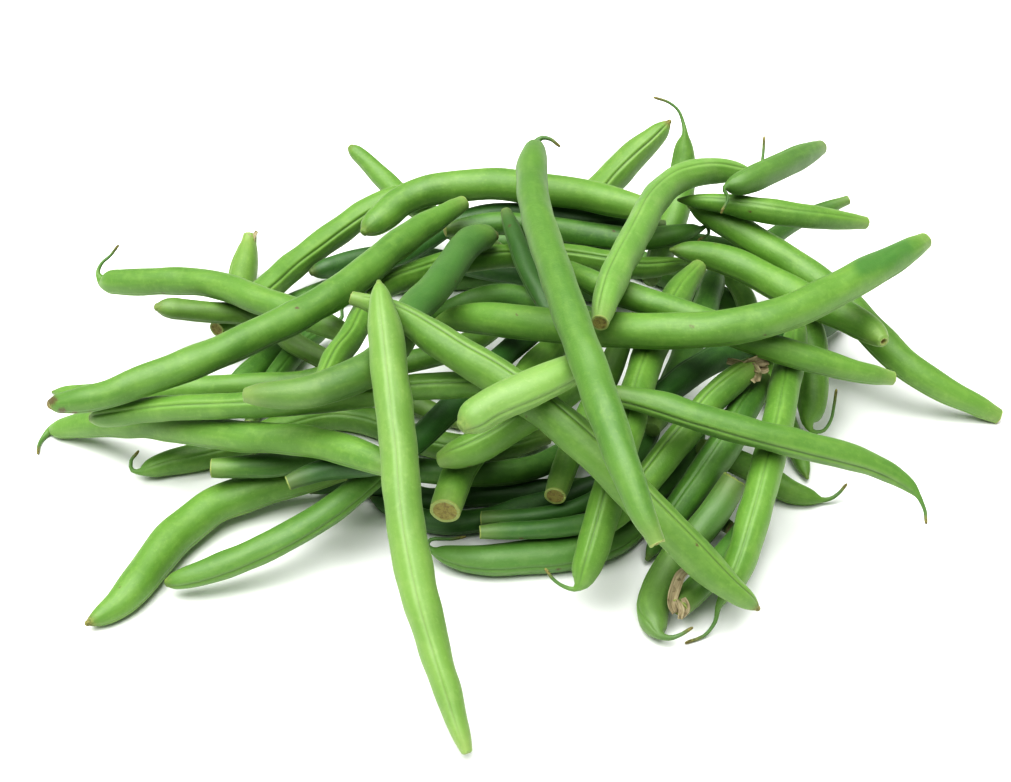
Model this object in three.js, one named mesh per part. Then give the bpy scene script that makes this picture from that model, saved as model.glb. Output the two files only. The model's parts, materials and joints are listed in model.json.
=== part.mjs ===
// A loose heap of fresh green beans resting on a flat surface.
// Lengths are millimetres and Z is up.
// Every bean is one closed solid: a pod with a cut or broken stem end and a pointed blossom end,
// which on many beans runs out into a thin dried tail.
// A bean's path is traced as seen from one viewpoint, and the heap is then built by laying the beans
// down one after another, each as a stiff rod on the floor and on the beans that lie before it.
import * as THREE from "three";

// Driving sizes
const PLAIN_THICKNESS = 9.0;
const CLEARANCE = 0.5;
const FLOOR_FLAT = 0.45;
const FLOOR_FLAT_SHARE = 0.1;
const NECK_LENGTH = 20;
const NECK_SHARE = 0.45;
const TIP_LENGTH = 18;
const TIP_SHARE = 0.2;
const TAPER_POWER = 0.6;
const SEAM_RIDGE = 0.25;
const CUT_DOME = 0.35;
const APEX_LENGTH = 0.9;
const TAIL_START = 0.75;
const TAIL_END = 0.45;
const SIDES = 8;
const BODY_SPACING = 10;
const END_STATIONS = [0, 3, 8, 15];
const SAMPLES = 44;
const SPHERE_SPACING = 2.4;
const BOWS = [-9, -6, -4, -2, 0, 2, 4, 6, 9, 12];
const MOST_BOW_SHARE = 0.07;
const BOW_COST = 0.25;
const TOP_COST = 0.5;
const END_COST = 0.6;
const STEEPEST = 90;
const RISE_STEP = 1;

// The viewpoint that the paths are traced from: a pinhole, its picture in pixels
const VIEW_ELEVATION = THREE.MathUtils.degToRad(38);
const VIEW_DISTANCE = 500;
const VIEW_AIM_HEIGHT = 20;
const VIEW_FOCAL = 1854;
const VIEW_CENTRE = [505.5, 391];
const FORWARD = new THREE.Vector3(0, Math.cos(VIEW_ELEVATION), -Math.sin(VIEW_ELEVATION));
const UPWARD = new THREE.Vector3(0, Math.sin(VIEW_ELEVATION), Math.cos(VIEW_ELEVATION));
const EYE = new THREE.Vector3(0, 0, VIEW_AIM_HEIGHT).addScaledVector(FORWARD, -VIEW_DISTANCE);

// Pod greens
const BRIGHT = 0xa3d070;
const FRESH = 0x84bd55;
const DEEP = 0x5d9a3a;
const DARK = 0x3f7c2a;
const BLUISH = 0x4b8c48;

// The beans in the order they are laid. A path runs in picture pixels from one end to the other, and
// stem tells which end is the stem (0 the first point, 1 the last). plan is a path in millimetres on the
// floor instead, for a bean that is hidden. thick is the pod's thickness, neck and tip the lengths over
// which the stem and the blossom end taper, neckShare and tipShare how much of the thickness is left
// there, collar a stem end widened by its calyx, and tail the dried tail's path. ends are the least
// heights of its two ends, low the end that leans down and pull how much, and seam the side the seam
// shows on (-1 left to 1 right of the path).
const BEANS = [
  { name: "core_back_left", stem: 0, thick: 8.8, colour: DEEP,
    plan: [[-72, 58], [-42, 74], [0, 78], [42, 66]] },
  { name: "core_back_right", stem: 1, thick: 8.6, colour: DEEP,
    plan: [[78, 52], [62, 68], [32, 90], [-16, 98]] },
  { name: "under_far_left", stem: 1, thick: 7.2, tip: 34, tipShare: 0.55, colour: FRESH, ends: [22, 14],
    path: [[351, 148], [365, 160], [380, 175], [395, 190], [425, 212], [460, 232], [500, 250]] },
  { name: "left_inner_two", stem: 0, thick: 7.6, colour: DEEP,
    path: [[300, 326], [275, 352], [250, 375], [228, 398], [205, 425]] },
  { name: "left_inner_one", stem: 1, thick: 6.8, colour: DEEP, seam: 0.1,
    tail: [[342, 317], [342, 309], [346, 302]],
    path: [[338, 322], [320, 332], [300, 347], [278, 374], [262, 398], [250, 425]] },
  { name: "upright_left", stem: 0, thick: 8.6, colour: FRESH, ends: [12, 0], neck: 14, neckShare: 0.2,
    path: [[250, 236], [247, 255], [243, 275], [240, 300], [240, 325], [246, 350]] },
  { name: "upper_left", stem: 0, thick: 9.0, colour: FRESH, seam: 0.1, ends: [6, 24],
    path: [[217, 329], [242, 309], [268, 288], [300, 260], [330, 238], [350, 223], [374, 208],
      [402, 197], [440, 191]] },
  { name: "floor_stub_left", stem: 1, thick: 6.4, colour: DEEP, tip: 6, tipShare: 0.5,
    path: [[157, 307], [200, 311], [240, 314], [272, 325], [302, 348], [338, 366], [378, 387],
      [422, 407], [462, 424]] },
  { name: "floor_left", stem: 1, thick: 8.2, colour: FRESH, tip: 7, tipShare: 0.5, low: 0,
    tail: [[98, 273], [102, 263], [110, 256], [117, 247]],
    path: [[103, 281], [120, 282], [140, 282], [180, 281], [220, 285], [250, 297], [285, 308], [320, 322],
      [352, 337]] },
  { name: "dark_left_middle", stem: 1, thick: 6.8, tip: 8, tipShare: 0.5, colour: DARK,
    path: [[312, 272], [338, 265], [365, 258], [400, 256], [445, 261], [490, 269],
      [525, 277], [562, 288]] },
  { name: "neck_top_right", stem: 1, thick: 8.4, colour: FRESH, ends: [44, 20], tip: 16, tipShare: 0.25,
    tail: [[683, 122], [678, 110], [668, 102], [656, 98]],
    path: [[685, 134], [684, 150], [684, 165], [681, 190], [675, 215], [664, 245], [650, 280]] },
  { name: "upper_right_pointed", stem: 1, thick: 10.1, colour: FRESH, seam: 0, ends: [38, 24],
    path: [[669, 122], [652, 139], [634, 155], [617, 172], [602, 189], [575, 210], [548, 232], [520, 252]] },
  { name: "left_under_long", stem: 1, thick: 6.6, colour: FRESH, low: 0,
    path: [[54, 392], [90, 394], [135, 392], [190, 388], [250, 385], [310, 381], [345, 371], [385, 365],
      [430, 357], [472, 341], [508, 322]] },
  { name: "front_deep_one", stem: 1, thick: 6.6, colour: DARK,
    path: [[312, 492], [340, 482], [380, 486], [424, 500], [470, 495], [510, 493], [548, 490], [590, 484]] },
  { name: "front_deep_two", stem: 1, thick: 6.2, colour: DARK,
    path: [[372, 498], [400, 512], [428, 520], [455, 523], [480, 520], [515, 511], [560, 498], [605, 484],
      [645, 484], [690, 502], [730, 528]] },
  { name: "floor_front_left", stem: 1, thick: 10.0, colour: FRESH, tip: 24,
    path: [[88, 623], [109, 611], [132, 590], [157, 557], [181, 531], [211, 508], [241, 495], [270, 486],
      [300, 478], [345, 470]] },
  { name: "left_short_tip", stem: 1, thick: 8.4, colour: FRESH, seam: -0.1, tip: 14, low: 0,
    tail: [[132, 470], [131, 461], [137, 453]],
    path: [[138, 472], [155, 467], [180, 460], [210, 456], [250, 441], [295, 424], [335, 416], [378, 424],
      [412, 438], [448, 447], [500, 448], [548, 436]] },
  { name: "left_stub_long", stem: 0, thick: 6.6, colour: DEEP, neckShare: 0.8,
    path: [[212, 468], [240, 467], [270, 465], [310, 460], [360, 461], [420, 470], [480, 474],
      [530, 468], [572, 448], [605, 415]] },
  { name: "floor_front_slim", stem: 1, thick: 7.5, colour: FRESH, seam: 0.6, tip: 18, tipShare: 0.5,
    path: [[168, 582], [200, 574], [240, 559], [275, 543], [305, 526], [335, 507], [360, 487], [385, 465],
      [420, 436]] },
  { name: "floor_front_middle", stem: 1, thick: 9.2, colour: BRIGHT, seam: 0.6, tip: 24,
    tail: [[427, 545], [430, 540], [441, 539], [452, 539], [463, 537]],
    path: [[432, 550], [455, 557], [490, 560], [530, 557], [575, 552], [600, 546], [630, 530], [648, 515]] },
  { name: "cut_pair_upper", stem: 0, thick: 4.6, colour: DEEP, neckShare: 0.85,
    path: [[482, 518], [510, 517], [540, 515], [585, 504], [620, 480], [648, 440], [662, 400]] },
  { name: "cut_pair_lower", stem: 0, thick: 5.0, colour: DEEP, neckShare: 0.7,
    path: [[480, 532], [520, 530], [570, 526], [620, 514], [655, 494], [682, 466], [704, 430]] },
  { name: "middle_dark_long", stem: 0, thick: 6.8, colour: DARK,
    path: [[288, 483], [312, 473], [345, 466], [380, 461], [405, 450], [425, 432], [445, 413], [466, 394],
      [492, 366], [525, 337], [556, 313]] },
  { name: "front_cut_face", stem: 0, thick: 8.8, colour: FRESH, neckShare: 0.94, neck: 10, tip: 34,
    path: [[445, 511], [452, 490], [460, 470], [473, 450], [492, 424], [515, 394], [540, 361], [566, 337],
      [592, 317]] },
  { name: "behind_right_slim", stem: 0, thick: 5.2, colour: DEEP, ends: [24, 20],
    path: [[848, 200], [825, 209], [800, 220], [780, 232], [755, 245], [725, 246],
      [690, 240], [655, 232]] },
  { name: "right_inner_long", stem: 0, thick: 6.4, colour: FRESH,
    path: [[718, 266], [741, 290], [752, 325], [765, 368], [785, 420], [798, 452], [807, 477]] },
  { name: "right_inner_round", stem: 1, thick: 8.0, colour: DEEP, tip: 8, tipShare: 0.5,
    path: [[716, 272], [707, 302], [696, 330], [683, 361], [668, 396], [652, 430]] },
  { name: "right_cross_dark", stem: 0, thick: 7.8, colour: DARK,
    path: [[842, 319], [825, 326], [806, 332], [780, 340], [750, 346], [718, 358], [690, 374], [664, 392],
      [636, 410]] },
  { name: "right_hook", stem: 0, thick: 8.6, colour: FRESH, tip: 8, tipShare: 0.45,
    tail: [[812, 431], [823, 431], [830, 422], [834, 406], [836, 392]],
    path: [[803, 300], [810, 330], [814, 360], [813, 385], [812, 405], [808, 422]] },
  { name: "right_low_short", stem: 0, thick: 7.2, colour: FRESH, tail: [[832, 498], [839, 493], [845, 486]],
    path: [[700, 446], [725, 456], [755, 470], [780, 486], [800, 495], [823, 500]] },
  { name: "middle_back_upper", stem: 1, thick: 6.0, colour: DARK,
    path: [[385, 268], [410, 253], [440, 232], [470, 217], [520, 212], [560, 216], [620, 221], [665, 226]] },
  { name: "middle_back_round", stem: 0, thick: 7.2, colour: DEEP,
    tail: [[706, 226], [709, 233], [700, 239]],
    path: [[445, 230], [500, 223], [560, 230], [620, 238], [665, 236], [703, 228]] },
  { name: "middle_back_bright", stem: 0, thick: 7.6, colour: FRESH, seam: -0.35,
    tail: [[695, 258], [698, 252], [694, 246]],
    path: [[318, 390], [338, 354], [356, 330], [368, 306], [386, 286], [410, 276], [450, 263], [500, 257],
      [560, 256], [600, 261], [640, 268], [688, 263]] },
  { name: "behind_long", stem: 1, thick: 6.8, colour: DEEP,
    path: [[425, 318], [450, 308], [480, 299], [510, 295], [540, 301], [575, 312], [615, 326]] },
  { name: "dark_steep", stem: 0, thick: 5.8, colour: BLUISH,
    path: [[506, 212], [513, 230], [522, 255], [533, 280], [545, 303], [560, 332]] },
  { name: "arch_top", stem: 1, thick: 9.6, colour: FRESH, ends: [30, 42], tip: 12, tipShare: 0.4,
    path: [[364, 232], [385, 215], [405, 199], [430, 190], [460, 186], [500, 184], [540, 189], [580, 194],
      [620, 203], [655, 212]] },
  { name: "right_far_long", stem: 1, thick: 9.0, colour: FRESH, seam: 0.9, neck: 40, ends: [34, 0],
    path: [[690, 206], [730, 225], [760, 243], [790, 262], [815, 279], [845, 303], [869, 328], [893, 353],
      [918, 373], [948, 391], [974, 404], [998, 416]] },
  { name: "right_upper_slim", stem: 1, thick: 7.4, colour: FRESH, seam: -0.4, neck: 26, ends: [38, 34],
    tip: 26, path: [[680, 200], [720, 203], [750, 209], [780, 213], [810, 217], [840, 220], [865, 223]] },
  { name: "right_facing_stem", stem: 1, thick: 9.0, colour: FRESH, neck: 14, ends: [34, 30],
    path: [[672, 250], [690, 252], [720, 258], [745, 268], [770, 280], [790, 291], [820, 305], [847, 317],
      [867, 328], [883, 341]] },
  { name: "right_broad_down", stem: 0, thick: 9.2, colour: DEEP, tip: 30, seam: 0.4,
    path: [[762, 378], [757, 390], [740, 416], [722, 450], [700, 480], [680, 507], [662, 533], [648, 558]] },
  { name: "right_calyx", stem: 0, thick: 8.2, colour: FRESH, seam: 0.5, collar: true, neck: 8, neckShare: 0.6,
    path: [[752, 367], [740, 376], [715, 397], [690, 427], [665, 457], [645, 482], [620, 512], [600, 535]] },
  { name: "middle_cut_slim", stem: 0, thick: 7.0, colour: FRESH, neckShare: 0.85,
    path: [[555, 496], [562, 475], [570, 453], [585, 420], [603, 385], [618, 350], [632, 315]] },
  { name: "middle_long_down", stem: 0, thick: 9.2, colour: FRESH, seam: 0.2, tip: 9,
    tipShare: 0.5, low: 1,
    tail: [[575, 589], [565, 587], [553, 579], [547, 571]],
    path: [[698, 268], [680, 292], [665, 320], [650, 352], [638, 388], [630, 420], [618, 460], [605, 505],
      [591, 555], [581, 583]] },
  { name: "right_broken_top", stem: 0, thick: 8.2, colour: DEEP, neckShare: 0.9, tip: 9, tipShare: 0.3,
    tail: [[670, 638], [680, 635], [690, 629]],
    path: [[735, 480], [718, 508], [700, 531], [681, 551], [664, 575], [655, 600], [653, 621], [661, 636]] },
  { name: "right_low_calyx", stem: 0, thick: 7.0, colour: DEEP, collar: true, neck: 6, neckShare: 0.6,
    path: [[679, 608], [688, 598], [702, 583], [720, 563], [740, 536], [756, 506]] },
  { name: "right_front_long", stem: 0, thick: 8.8, colour: FRESH, seam: 0.1, tip: 10, tipShare: 0.35,
    tail: [[719, 605], [715, 622], [705, 635], [688, 642]],
    path: [[797, 322], [793, 350], [787, 375], [780, 412], [770, 455], [761, 490], [750, 530],
      [738, 566], [723, 598]] },
  { name: "right_middle_long", stem: 1, thick: 7.4, colour: FRESH, neck: 30, low: 1,
    path: [[560, 262], [585, 278], [610, 290], [650, 302], [700, 319], [740, 336], [790, 353], [820, 361],
      [855, 371], [892, 378]] },
  { name: "left_lower_long", stem: 1, thick: 8.2, colour: FRESH, tip: 20, tipShare: 0.35, low: 0,
    tail: [[43, 438], [39, 445], [38, 452]],
    path: [[50, 431], [75, 426], [100, 423], [150, 424], [200, 431], [250, 437], [300, 440], [340, 448],
      [378, 461], [400, 472]] },
  { name: "left_middle_long", stem: 1, thick: 7.2, colour: FRESH, seam: -0.2, tip: 12, tipShare: 0.7, low: 0,
    path: [[93, 418], [150, 410], [200, 407], [250, 405], [300, 402], [340, 398], [375, 392], [410, 388],
      [440, 386], [480, 384], [515, 385], [552, 380]] },
  { name: "right_long_tail", stem: 0, thick: 7.6, colour: FRESH, seam: 0.5, tip: 30,
    tail: [[922, 503], [925, 511], [926, 521]],
    path: [[600, 393], [620, 396], [650, 402], [690, 415], [730, 426], [770, 437], [810, 447], [850, 457],
      [885, 470], [910, 486], [919, 497]] },
  { name: "long_cross_right", stem: 1, thick: 9.6, colour: FRESH, neck: 34,
    path: [[437, 320], [470, 318], [500, 320], [550, 325], [600, 329], [650, 331], [700, 330], [740, 325],
      [780, 315], [820, 298], [860, 277], [890, 261], [924, 241]] },
  { name: "curved_left_middle", stem: 0, thick: 9.0, colour: BLUISH, neck: 26, tip: 8, tipShare: 0.5,
    path: [[246, 395], [280, 394], [310, 391], [340, 382], [370, 368], [395, 345], [415, 308], [435, 288],
      [450, 268], [462, 250], [477, 238], [495, 236]] },
  { name: "long_diagonal_left", stem: 1, thick: 8.8, colour: FRESH, neck: 34, tip: 36, tipShare: 0.5,
    low: 0,
    path: [[51, 404], [76, 401], [100, 396], [150, 378], [200, 360], [250, 338], [300, 314], [350, 283],
      [400, 243], [430, 222], [463, 203]] },
  { name: "cut_end_curl", stem: 0, thick: 8.8, colour: FRESH, seam: -0.4, neckShare: 0.5, neck: 10,
    path: [[440, 460], [462, 453], [485, 443], [512, 426], [542, 407], [572, 391], [600, 377]] },
  { name: "diagonal_front", stem: 0, thick: 9.6, colour: FRESH, seam: -0.6, neck: 40, neckShare: 0.25,
    tip: 24, low: 1,
    path: [[352, 298], [375, 305], [400, 316], [430, 335], [460, 355], [490, 372], [520, 392], [550, 415],
      [580, 440], [610, 468], [640, 500], [670, 530], [700, 560], [730, 588], [757, 608]] },
  { name: "bright_centre", stem: 0, thick: 9.4, colour: BRIGHT, seam: -0.6, tip: 5, tipShare: 0.8,
    path: [[591, 357], [572, 369], [540, 384], [510, 397], [482, 412], [463, 427]] },
  { name: "bent_top_right", stem: 0, thick: 8.6, colour: BRIGHT, seam: -0.5, neck: 22, ends: [0, 46],
    tail: [[760, 168], [763, 155], [764, 139]],
    path: [[600, 323], [606, 300], [620, 265], [637, 233], [655, 200], [675, 181], [700, 172], [728, 171],
      [754, 174]] },
  { name: "top_right_cut", stem: 0, thick: 7.8, colour: DEEP, neck: 40, neckShare: 0.55, tip: 8,
    tipShare: 0.45, ends: [42, 44],
    tail: [[724, 188], [728, 197], [722, 211]],
    path: [[820, 148], [800, 157], [780, 167], [760, 176], [743, 183], [728, 187]] },
  { name: "upright_front", stem: 1, thick: 8.6, colour: FRESH, seam: -1, neck: 36, neckShare: 0.36,
    tip: 14, low: 1, pull: 0.12,
    tail: [[541, 138], [550, 139], [558, 145]],
    path: [[536, 143], [532, 165], [533, 195], [540, 225], [550, 255], [560, 285], [572, 320], [585, 355],
      [598, 390], [610, 425], [623, 460], [637, 500], [657, 543]] },
  { name: "front_long", stem: 1, thick: 9.7, colour: BRIGHT, seam: 0.15, neck: 55, neckShare: 0.3,
    path: [[379, 283], [381, 300], [385, 330], [389, 365], [393, 400], [398, 440], [401, 480], [405, 520],
      [412, 560], [421, 600], [432, 640], [444, 680], [455, 716], [467, 752]] },
];

function rayThrough(pixelX, pixelY) {
  const across = (pixelX - VIEW_CENTRE[0]) / VIEW_FOCAL;
  const above = (VIEW_CENTRE[1] - pixelY) / VIEW_FOCAL;
  return FORWARD.clone().addScaledVector(UPWARD, above).add(new THREE.Vector3(across, 0, 0));
}

function pointAtHeight(ray, height) {
  return EYE.clone().addScaledVector(ray, (height - EYE.z) / ray.z);
}

function smoothPath(points, count) {
  const curve = new THREE.CatmullRomCurve3(
    points.map(([x, y]) => new THREE.Vector3(x, y, 0)),
    false,
    "centripetal",
  );
  return curve.getSpacedPoints(count - 1).map((point) => [point.x, point.y]);
}

// The pod's radius at a distance from its stem end
function podRadius(bean, distance, length) {
  const full = (bean.thick ?? PLAIN_THICKNESS) / 2;
  const neckShare = bean.neckShare ?? NECK_SHARE;
  const tipShare = bean.tipShare ?? TIP_SHARE;
  const neck = Math.min(bean.neck ?? NECK_LENGTH, length * 0.45);
  const tip = Math.min(bean.tip ?? TIP_LENGTH, length * 0.45);
  const nearStem = THREE.MathUtils.clamp(distance / neck, 0, 1);
  const nearTip = THREE.MathUtils.clamp((length - distance) / tip, 0, 1);
  const stemPart = neckShare + (1 - neckShare) * Math.sin((nearStem * Math.PI) / 2) ** TAPER_POWER;
  const tipPart = tipShare + (1 - tipShare) * Math.sin((nearTip * Math.PI) / 2) ** TAPER_POWER;
  const belly = 0.95 + 0.05 * Math.sin((Math.PI * distance) / length);
  return Math.max(0.5, full * stemPart * tipPart * belly);
}

// Everything laid so far, as balls along each pod: x, y, z, radius
const laid = [];

function leastHeightOnRay(ray, radius) {
  let least = radius - Math.min(FLOOR_FLAT, radius * FLOOR_FLAT_SHARE);
  const a = ray.lengthSq();
  for (const [x, y, z, r] of laid) {
    const reach = r + radius + CLEARANCE;
    const dx = EYE.x - x;
    const dy = EYE.y - y;
    const dz = EYE.z - z;
    const b = ray.x * dx + ray.y * dy + ray.z * dz;
    const c = dx * dx + dy * dy + dz * dz - reach * reach;
    const root = b * b - a * c;
    if (root > 0) {
      const height = EYE.z + ((-b - Math.sqrt(root)) / a) * ray.z;
      if (height > least) least = height;
    }
  }
  return least;
}

function leastHeightAbove(planX, planY, radius) {
  let least = radius - Math.min(FLOOR_FLAT, radius * FLOOR_FLAT_SHARE);
  for (const [x, y, z, r] of laid) {
    const reach = r + radius + CLEARANCE;
    const square = reach * reach - (planX - x) ** 2 - (planY - y) ** 2;
    if (square > 0) least = Math.max(least, z + Math.sqrt(square));
  }
  return least;
}

// A stiff rod over obstacles: of all slopes and bows the one that lies lowest, where its highest point
// counts as well as its mean, so that no end is left standing up
function settle(least, length, lowEnd, pull) {
  const last = least.length - 1;
  let best = null;
  for (const bow of BOWS.filter((height) => Math.abs(height) <= MOST_BOW_SHARE * length)) {
    const arch = least.map((_, i) => 4 * bow * (i / last) * (1 - i / last));
    for (let rise = -STEEPEST; rise <= STEEPEST; rise += RISE_STEP) {
      let base = -Infinity;
      for (let i = 0; i <= last; i += 1) base = Math.max(base, least[i] - arch[i] - (rise * i) / last);
      const heights = arch.map((height, i) => base + height + (rise * i) / last);
      const mean = heights.reduce((sum, height) => sum + height, 0) / heights.length;
      const ending = lowEnd === undefined ? 0 : heights[lowEnd * last];
      const cost = mean + TOP_COST * Math.max(...heights) + BOW_COST * Math.abs(bow) + pull * ending;
      if (!best || cost < best.cost) best = { cost, heights };
    }
  }
  return best.heights;
}

function lengthOf(points) {
  let length = 0;
  for (let i = 1; i < points.length; i += 1) length += points[i].distanceTo(points[i - 1]);
  return length;
}

function layBean(bean) {
  const flat = smoothPath(bean.path ?? bean.plan, SAMPLES);
  const rays = bean.path ? flat.map(([x, y]) => rayThrough(x, y)) : null;
  const place = (i, height) =>
    rays ? pointAtHeight(rays[i], height) : new THREE.Vector3(flat[i][0], flat[i][1], height);
  const guess = lengthOf(flat.map((_, i) => place(i, 20)));
  const radii = flat.map((_, i) => {
    const along = (guess * i) / (SAMPLES - 1);
    return podRadius(bean, bean.stem === 0 ? along : guess - along, guess);
  });
  const least = flat.map(([x, y], i) =>
    rays ? leastHeightOnRay(rays[i], radii[i]) : leastHeightAbove(x, y, radii[i]),
  );
  if (bean.ends) {
    least[0] = Math.max(least[0], bean.ends[0]);
    least[SAMPLES - 1] = Math.max(least[SAMPLES - 1], bean.ends[1]);
  }
  const heights = settle(least, guess, bean.low, bean.pull ?? END_COST);
  const line = flat.map((_, i) => place(i, heights[i]));
  const length = lengthOf(line);
  const tail = [];
  if (bean.tail) {
    const depth = line[bean.stem === 0 ? SAMPLES - 1 : 0].clone().sub(EYE).dot(FORWARD);
    for (const [x, y] of bean.tail) {
      const ray = rayThrough(x, y);
      const height = Math.max(EYE.z + depth * ray.z, leastHeightOnRay(ray, TAIL_START));
      tail.push(pointAtHeight(ray, height));
    }
  }
  if (bean.stem !== 0) line.reverse();
  const curve = new THREE.CatmullRomCurve3(line, false, "centripetal");
  const balls = Math.ceil(length / SPHERE_SPACING);
  for (let i = 0; i <= balls; i += 1) {
    const point = curve.getPointAt(i / balls);
    laid.push([point.x, point.y, point.z, podRadius(bean, (length * i) / balls, length)]);
  }
  const tailLine = [line[line.length - 1], ...tail];
  for (let i = 1; i < tailLine.length; i += 1) {
    for (const share of [0.33, 0.67, 1]) {
      const point = tailLine[i - 1].clone().lerp(tailLine[i], share);
      laid.push([point.x, point.y, point.z, TAIL_START]);
    }
  }
  return { bean, curve, length, tail };
}

// Stations along the pod: close together at both ends, evenly spread between
function stationsOf(length) {
  const ends = END_STATIONS.filter((distance) => distance < length * 0.35);
  const inner = ends[ends.length - 1];
  const count = Math.max(1, Math.round((length - 2 * inner) / BODY_SPACING));
  const stations = [...ends];
  for (let i = 1; i < count; i += 1) stations.push(inner + ((length - 2 * inner) * i) / count);
  for (const distance of ends.slice().reverse()) stations.push(length - distance);
  return stations;
}

function ringDirections(tangent, centre) {
  const toEye = EYE.clone().sub(centre).normalize();
  const facing = toEye.addScaledVector(tangent, -toEye.dot(tangent)).normalize();
  const side = tangent.clone().cross(facing).normalize();
  return [facing, side];
}

function beanMesh({ bean, curve, length, tail }) {
  const centres = [];
  const radii = [];
  const tangents = [];
  for (const distance of stationsOf(length)) {
    const share = Math.min(1, distance / length);
    centres.push(curve.getPointAt(share));
    tangents.push(curve.getTangentAt(share));
    radii.push(podRadius(bean, distance, length));
  }
  if (bean.collar) radii[0] *= 1.25;
  const tipPoint = centres[centres.length - 1];
  const tipTangent = tangents[tangents.length - 1];
  tail.forEach((point, i) => {
    const before = i ? tail[i - 1] : tipPoint;
    const after = tail[i + 1] ?? point;
    centres.push(point);
    tangents.push(after.clone().sub(before).normalize());
    radii.push(TAIL_START + ((TAIL_END - TAIL_START) * (i + 1)) / tail.length);
  });
  const endTangent = tail.length ? tangents[tangents.length - 1] : tipTangent;
  const apex = centres[centres.length - 1].clone().addScaledVector(endTangent, APEX_LENGTH);
  const bottom = centres[0].clone().addScaledVector(tangents[0], -CUT_DOME);

  // The seam is seen from the same side of the path whichever end the stem is at
  const seam = (bean.seam ?? 0.9) * (bean.stem === 0 ? 1 : -1);
  const seamAngle = Math.asin(THREE.MathUtils.clamp(seam, -1, 1));
  const positions = [];
  const indices = [];
  let previousSide = null;
  centres.forEach((centre, ring) => {
    let [facing, side] = ringDirections(tangents[ring], centre);
    if (previousSide && ring >= centres.length - tail.length) {
      side = previousSide.clone().addScaledVector(tangents[ring], -previousSide.dot(tangents[ring]));
      side.normalize();
      facing = side.clone().cross(tangents[ring]).normalize();
    }
    previousSide = side;
    for (let k = 0; k < SIDES; k += 1) {
      const angle = seamAngle + (2 * Math.PI * k) / SIDES;
      const ridge = k === 0 && radii[ring] > 1.5 ? SEAM_RIDGE : 0;
      const reach = radii[ring] + ridge;
      const vertex = centre
        .clone()
        .addScaledVector(facing, reach * Math.cos(angle))
        .addScaledVector(side, reach * Math.sin(angle));
      positions.push(vertex.x, vertex.y, Math.max(0, vertex.z));
    }
  });
  const rings = centres.length;
  const bottomIndex = rings * SIDES;
  const apexIndex = bottomIndex + 1;
  positions.push(bottom.x, bottom.y, Math.max(0, bottom.z), apex.x, apex.y, Math.max(0.02, apex.z));
  for (let k = 0; k < SIDES; k += 1) {
    const next = (k + 1) % SIDES;
    indices.push(bottomIndex, next, k);
    for (let ring = 0; ring < rings - 1; ring += 1) {
      const here = ring * SIDES;
      const there = here + SIDES;
      indices.push(here + k, here + next, there + next, here + k, there + next, there + k);
    }
    indices.push((rings - 1) * SIDES + k, (rings - 1) * SIDES + next, apexIndex);
  }
  const geometry = new THREE.BufferGeometry();
  geometry.setAttribute("position", new THREE.Float32BufferAttribute(positions, 3));
  geometry.setIndex(indices);
  geometry.computeVertexNormals();
  const material = new THREE.MeshStandardMaterial({ color: bean.colour, roughness: 0.45, metalness: 0 });
  const mesh = new THREE.Mesh(geometry, material);
  mesh.name = `bean_${bean.name}`;
  return mesh;
}

const group = new THREE.Group();
group.name = "green_bean_heap";
for (const bean of BEANS) group.add(beanMesh(layBean(bean)));

// The heap's own origin: under the middle of its outline, on the floor
const bounds = new THREE.Box3().setFromObject(group);
const middle = bounds.getCenter(new THREE.Vector3());
for (const mesh of group.children) mesh.position.set(-middle.x, -middle.y, -bounds.min.z);

export default group;
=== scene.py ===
"""A loose heap of fresh green beans on a pale floor.

Each pod is a smooth surface carried along the middle line of its plain solid, with a suture, seed bumps,
a cut or scarred stem end and a dried blossom end. Lengths in the tables are millimetres.
"""
import json
import math

import bpy
import numpy as np
from bpy.props import FloatProperty, FloatVectorProperty, IntProperty, PointerProperty
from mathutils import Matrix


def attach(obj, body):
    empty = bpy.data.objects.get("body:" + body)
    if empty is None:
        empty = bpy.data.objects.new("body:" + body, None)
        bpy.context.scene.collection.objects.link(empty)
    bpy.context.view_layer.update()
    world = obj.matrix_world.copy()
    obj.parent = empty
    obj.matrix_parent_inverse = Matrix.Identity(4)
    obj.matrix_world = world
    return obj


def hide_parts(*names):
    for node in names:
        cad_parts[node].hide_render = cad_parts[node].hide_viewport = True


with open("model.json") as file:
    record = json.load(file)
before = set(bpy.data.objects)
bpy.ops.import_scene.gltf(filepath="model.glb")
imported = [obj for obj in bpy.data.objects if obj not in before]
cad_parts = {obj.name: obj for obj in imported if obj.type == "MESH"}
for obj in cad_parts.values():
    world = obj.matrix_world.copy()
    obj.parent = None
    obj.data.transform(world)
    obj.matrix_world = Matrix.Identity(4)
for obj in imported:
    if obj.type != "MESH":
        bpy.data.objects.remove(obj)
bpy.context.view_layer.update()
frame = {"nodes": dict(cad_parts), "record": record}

bl_info = {
    "name": "Green Bean Heap",
    "version": (1, 0, 0),
    "blender": (4, 5, 0),
    "location": "View3D > Sidebar > Green beans",
    "description": "Smooth pods, dried calyxes and a plain stage for a heap of green beans",
    "category": "Object",
}

MM = 0.001

# The viewpoint: a pinhole that looks along +Y and down
PICTURE_WIDTH = 1011
PICTURE_HEIGHT = 782
FOCAL_PIXELS = 1854
SENSOR_WIDTH = 36.0
VIEW_ELEVATION = 38.0
VIEW_DISTANCE = 500.0
VIEW_AIM = (-4.55, -6.38, 20.0)
SLOPE = math.radians(VIEW_ELEVATION)
FORWARD = np.array([0.0, math.cos(SLOPE), -math.sin(SLOPE)])
UPWARD = np.array([0.0, math.sin(SLOPE), math.cos(SLOPE)])
EYE = np.array(VIEW_AIM) - VIEW_DISTANCE * FORWARD

# The solids' rings: corners in a ring, how near two corners are one, and where the suture ridge shows
RING_CORNERS = 8
MERGE = 1e-6
RIDGE_RADIUS = 1.5

SEED = 58


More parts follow.
